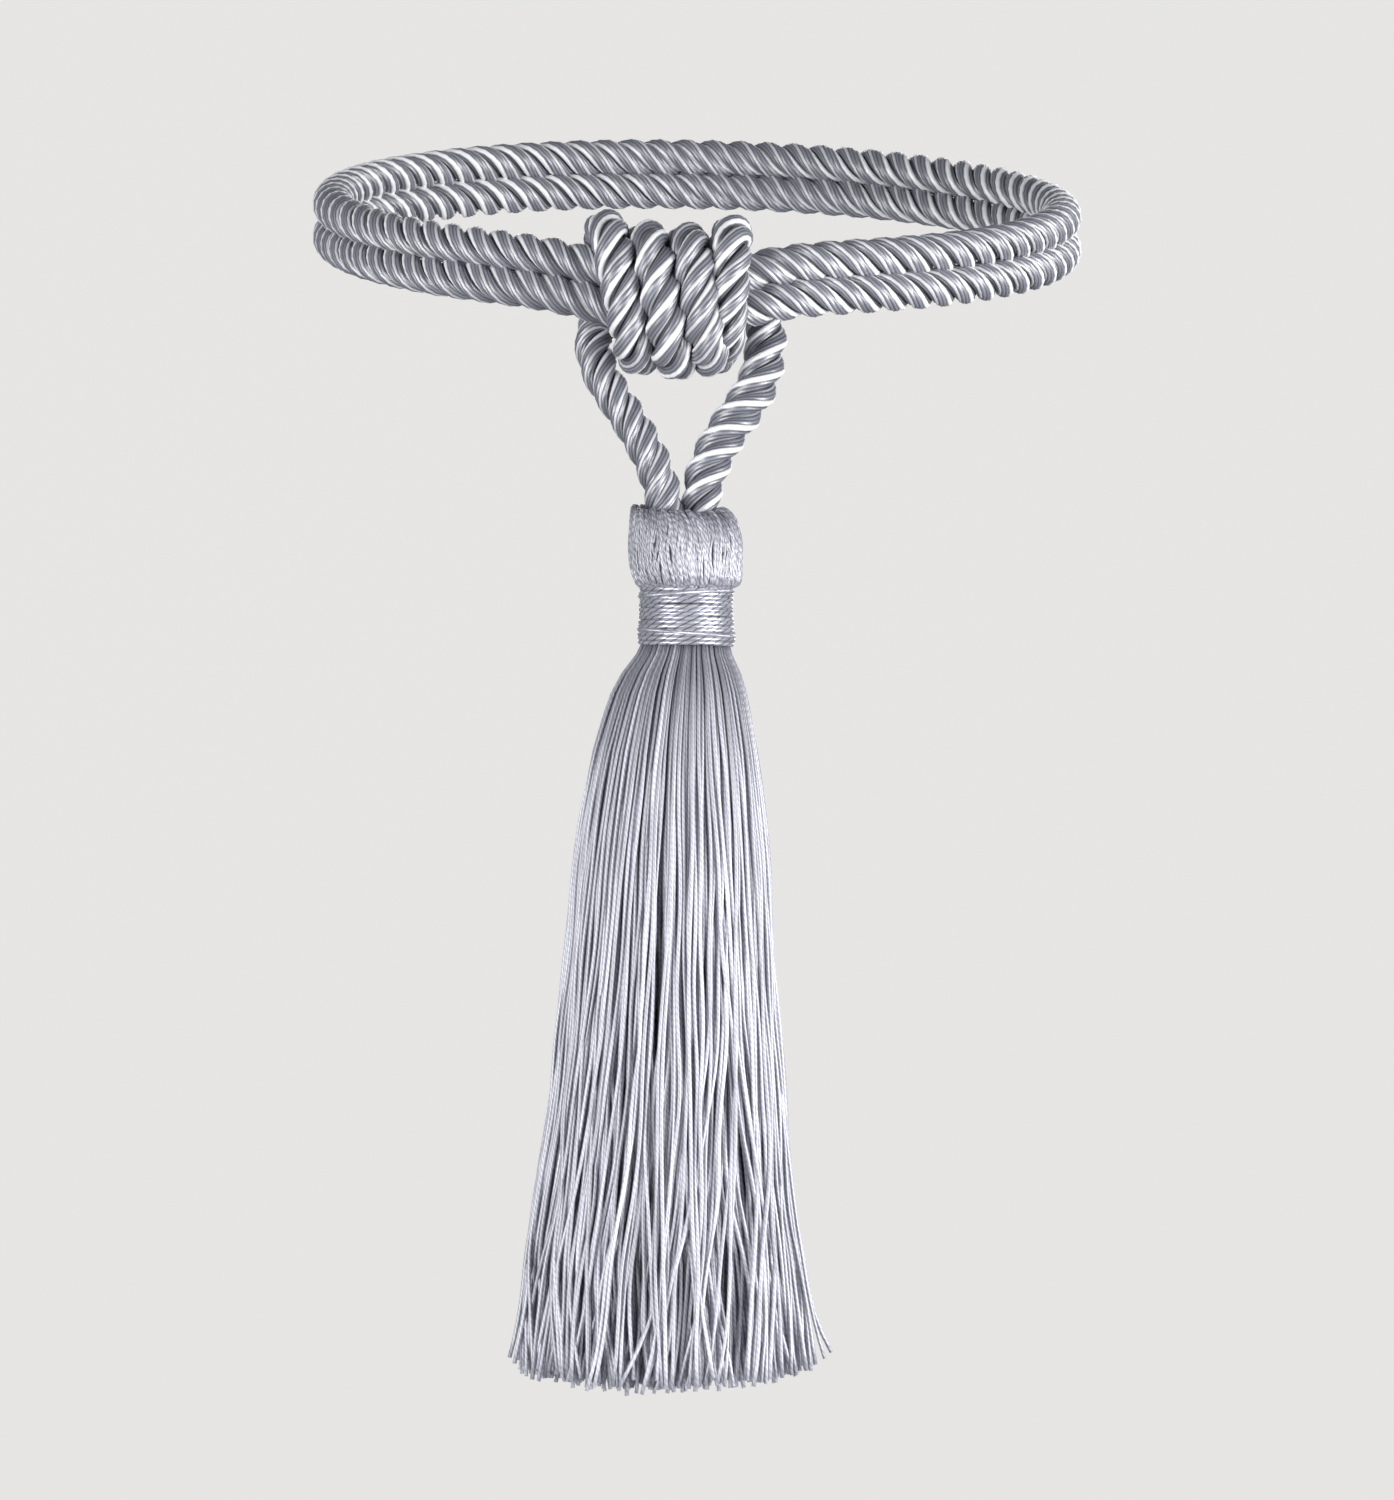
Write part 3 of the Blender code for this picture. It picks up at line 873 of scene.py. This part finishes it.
def head_routes():
    """The threads over the head, each a little aslant."""
    chance = np.random.default_rng(SEED)
    rows = even_line(HEAD, HEAD_OUTLINE_STEP)
    picked = np.linspace(0, len(rows) - 1, HEAD_STEPS + 1).round().astype(int)
    half_width, half_depth, z, centre_x = rows[picked].T
    t = np.linspace(0, 1, HEAD_STEPS + 1)
    routes = []
    over_rim = np.interp(t, RIM_FADE, (1, 0))
    for number in range(HEAD_THREADS):
        direction = 2 * math.pi * (number + chance.uniform(*HEAD_SHIFT)) / HEAD_THREADS
        slant = HEAD_SLANT + HEAD_SLANT_RIGHT * max(math.cos(direction), 0)
        slant += chance.normal(0, HEAD_SLANT_UNEVEN)
        wave = chance.normal(0, HEAD_WAVE)
        half_waves = chance.uniform(*HEAD_WAVES) * t + chance.uniform(0, 2)
        turn = direction - slant * (t - 0.5) + wave * np.sin(math.pi * half_waves)
        proud = abs(chance.normal(0, HEAD_PROUD)) * np.sin(math.pi * t)
        x = centre_x + (half_width + proud) * np.cos(turn)
        y = TASSEL_Y + (half_depth + proud) * np.sin(turn)
        dip = RIM_FRONT_DIP * np.maximum(-np.sin(turn), 0)
        dip += RIM_RIGHT_DIP * np.maximum(np.cos(turn), 0)
        height = z + (chance.normal(0, RIM_UNEVEN) - dip) * over_rim
        radius = np.full(len(t), HEAD_THREAD_RADIUS * chance.uniform(*HEAD_UNEVEN))
        routes.append(np.column_stack([x, y, height, radius]))
    return routes


def ringed_body(rows, inset):
    """A closed body through oval rings of half width, half depth, z and centre x."""
    bm = bmesh.new()
    previous = None
    for half_width, half_depth, z, centre_x in rows:
        place = Matrix.Translation((centre_x, TASSEL_Y, z))
        place @= Matrix.Diagonal((half_width - inset, half_depth - inset, 1, 1))
        ring = bmesh.ops.create_circle(bm, segments=CORE_SIDES, radius=1, matrix=place)["verts"]
        edges = list(dict.fromkeys(edge for vert in ring for edge in vert.link_edges))
        if previous:
            bmesh.ops.bridge_loops(bm, edges=previous + edges)
        previous = edges
    bmesh.ops.holes_fill(bm, edges=[edge for edge in bm.edges if edge.is_boundary], sides=0)
    bmesh.ops.recalc_face_normals(bm, faces=bm.faces[:])
    mesh = bpy.data.meshes.new("head core")
    bm.to_mesh(mesh)
    bm.free()
    return mesh


def core_finish():
    """Packed thread seen between the outer ones: the same silver in shade."""
    made = bpy.data.materials.new("packed thread")
    made.use_nodes = True
    nodes = made.node_tree.nodes
    links = made.node_tree.links
    shader = nodes["Principled BSDF"]
    shader.inputs["Roughness"].default_value = CORE_ROUGHNESS
    place = nodes.new("ShaderNodeTexCoord")
    grain = nodes.new("ShaderNodeTexNoise")
    grain.inputs["Scale"].default_value = CORE_GRAIN
    ramp = nodes.new("ShaderNodeValToRGB")
    ramp.color_ramp.elements[0].color = CORE_SHADE
    ramp.color_ramp.elements[1].color = CORE_LIGHT
    bump = nodes.new("ShaderNodeBump")
    bump.inputs["Distance"].default_value = CORE_RELIEF
    links.new(place.outputs["Object"], grain.inputs["Vector"])
    links.new(grain.outputs["Fac"], ramp.inputs[0])
    links.new(ramp.outputs[0], shader.inputs["Base Color"])
    links.new(grain.outputs["Fac"], bump.inputs["Height"])
    links.new(bump.outputs[0], shader.inputs["Normal"])
    return made


# The head's threads are the skirt's thread painted darker all over, as painted shade, with deeper
# painted groove shade.
head_thread_in_shade = viscose(
    "silver head thread in painted shade",
    light=(0.61, 0.62, 0.69),
    groove_shade=(0.18, 0.18, 0.24),
    yarns=2,
    yarn_lay=0.0030,
    groove=0.32,
    relief=1.2,
    roughness=0.40,
    metallic=0.05,
    dim=0.50,
    streaks=160.0,
    shaded=0.012,
)
head_mesh = swept("head_threads", head_routes(), thread_outline)
add_piece("head_threads", head_mesh, head_thread_in_shade, ["tassel_threads"])
core_rows = [CORE_TOP, *(row for row in HEAD if row[2] < CORE_TOP[2] and row[0] > CORE_TOP[0])]
core_mesh = ringed_body([*core_rows, *HEAD[-2:], NECK_END], CORE_INSET)
add_piece("head_core", core_mesh, core_finish(), ["tassel_threads"])

# The binding. One satin thread is wound tightly round the neck, some 14 turns side by side,
# with two looser turns laid aslant over them, one near the top and one near the bottom.
BINDING_TURNS = 14
BINDING_THREAD_RADIUS = 0.00050
BINDING_STEPS = 48
# How unevenly the turns lie, and how many times in a turn that changes.
BINDING_UNEVEN = 0.00014
BINDING_CHANGES = 5

# The looser turns. Columns: turns, z of the first, z of the last, lift off the neck, slope.
LOOSE_TURNS = (
    (1.3, -0.0786, -0.0800, 0.00030, 0.0009),
    (1.4, -0.0868, -0.0880, 0.00020, -0.0006),
)

# The binding's outline. Columns: z, outer radius.
BINDING = (
    (-0.0776, 0.0094),
    (-0.0785, 0.0096),
    (-0.0840, 0.0097),
    (-0.0892, 0.0100),
    (-0.0902, 0.0098),
)
BINDING_X = -0.0022


def binding_route(turns, top, bottom, lift, slope):
    """A thread wound down the neck, its turns a little uneven."""
    chance = np.random.default_rng(SEED)
    t = np.linspace(0, 1, round(turns * BINDING_STEPS) + 1)
    levels = np.array(BINDING)
    z = top + (bottom - top) * t
    radius = np.interp(-z, -levels[:, 0], levels[:, 1]) - BINDING_THREAD_RADIUS + lift
    marks = np.linspace(0, 1, round(turns * BINDING_CHANGES) + 2)
    radius = radius + np.interp(t, marks, chance.normal(0, BINDING_UNEVEN / 2, len(marks)))
    z = z + np.interp(t, marks, chance.normal(0, BINDING_UNEVEN, len(marks)))
    angle = 2 * math.pi * turns * t
    z = z + slope * np.cos(angle)
    x = BINDING_X + radius * np.cos(angle)
    y = TASSEL_Y + radius * np.sin(angle)
    return np.column_stack([x, y, z, np.full(len(t), BINDING_THREAD_RADIUS)])


# Painted shade in the grooves between the plies.
binding_satin = viscose(
    "silver satin winding",
    light=(0.70, 0.71, 0.78),
    groove_shade=(0.07, 0.07, 0.10),
    yarns=2,
    yarn_lay=0.0018,
    groove=0.16,
    relief=0.9,
    roughness=0.32,
    metallic=0.55,
    dim=0.6,
    streaks=300.0,
)
first_turn_z = BINDING[0][0] - BINDING_THREAD_RADIUS
last_turn_z = BINDING[-1][0] + BINDING_THREAD_RADIUS
windings = [binding_route(BINDING_TURNS, first_turn_z, last_turn_z, 0.0, 0.0)]
windings += [binding_route(*row) for row in LOOSE_TURNS]
binding_mesh = swept("neck_winding", windings, thread_outline)
add_piece("neck_winding", binding_mesh, binding_satin, ["neck_binding"])
bpy.data.objects.remove(thread_outline)

# The studio. A pale paper sweep all round, which glows a little by itself, two large soft lights
# in front, left and right, and a weaker one behind.
FLOOR_Z = -0.62
PAPER_COLOUR = (0.10, 0.099, 0.097, 1)
PAPER_GLOW_COLOUR = (1.0, 0.99, 0.97, 1)
PAPER_GLOW = 0.75
PAPER_ROUGHNESS = 0.9
AIR_COLOUR = (0.9, 0.93, 1.0, 1)
AIR_BRIGHTNESS = 0.25

# The sweep's section, from the middle of the floor out and up. Columns: distance, z.
SWEEP = (
    (0.0, FLOOR_Z),
    (2.2, FLOOR_Z),
    (2.6, FLOOR_Z + 0.07),
    (2.85, FLOOR_Z + 0.3),
    (2.95, FLOOR_Z + 0.7),
    (3.0, 3.0),
)
SWEEP_STEPS = 96

# Columns: name, degrees from the front towards the right, distance, z, width, height, power.
LIGHTS = (
    ("left softbox", -38, 1.15, -0.16, 0.65, 0.74, 11.2),
    ("right softbox", 58, 1.15, -0.18, 0.90, 0.70, 18.2),
    ("back light", 175, 1.30, 0.30, 0.80, 0.8, 8),
)
LIT_PLACE = (0, TASSEL_Y, -0.10)


def sweep_mesh():
    """The paper, as its section spun round."""
    bm = bmesh.new()
    verts = [bm.verts.new((distance, 0, z)) for distance, z in SWEEP]
    edges = [bm.edges.new(pair) for pair in zip(verts, verts[1:])]
    bmesh.ops.spin(
        bm,
        geom=verts + edges,
        cent=(0, 0, 0),
        axis=(0, 0, 1),
        angle=2 * math.pi,
        steps=SWEEP_STEPS,
        use_merge=True,
    )
    bmesh.ops.remove_doubles(bm, verts=bm.verts[:], dist=1e-5)
    bmesh.ops.recalc_face_normals(bm, faces=bm.faces[:])
    mesh = bpy.data.meshes.new("sweep")
    bm.to_mesh(mesh)
    bm.free()
    mesh.shade_smooth()
    return mesh


paper = bpy.data.materials.new("pale paper")
paper.use_nodes = True
paper_shader = paper.node_tree.nodes["Principled BSDF"]
paper_shader.inputs["Base Color"].default_value = PAPER_COLOUR
paper_shader.inputs["Roughness"].default_value = PAPER_ROUGHNESS
paper_shader.inputs["Emission Color"].default_value = PAPER_GLOW_COLOUR
paper_shader.inputs["Emission Strength"].default_value = PAPER_GLOW
sweep = bpy.data.objects.new("sweep", sweep_mesh())
sweep.data.materials.append(paper)
sweep.visible_diffuse = False
sweep.visible_glossy = False
bpy.context.scene.collection.objects.link(sweep)

for name, degrees, distance, z, width, height, power in LIGHTS:
    lamp = bpy.data.lights.new(name, "AREA")
    lamp.shape = "RECTANGLE"
    lamp.size = width
    lamp.size_y = height
    lamp.energy = power
    fixture = bpy.data.objects.new(name, lamp)
    angle = math.radians(degrees)
    fixture.location = (distance * math.sin(angle), -distance * math.cos(angle), z)
    aim = Vector(LIT_PLACE) - fixture.location
    fixture.rotation_euler = aim.to_track_quat("-Z", "Y").to_euler()
    fixture.visible_camera = False
    bpy.context.scene.collection.objects.link(fixture)

world = bpy.data.worlds.new("studio air")
world.use_nodes = True
world.node_tree.nodes["Background"].inputs["Color"].default_value = AIR_COLOUR
world.node_tree.nodes["Background"].inputs["Strength"].default_value = AIR_BRIGHTNESS
bpy.context.scene.world = world
bpy.context.scene.view_settings.view_transform = "Standard"
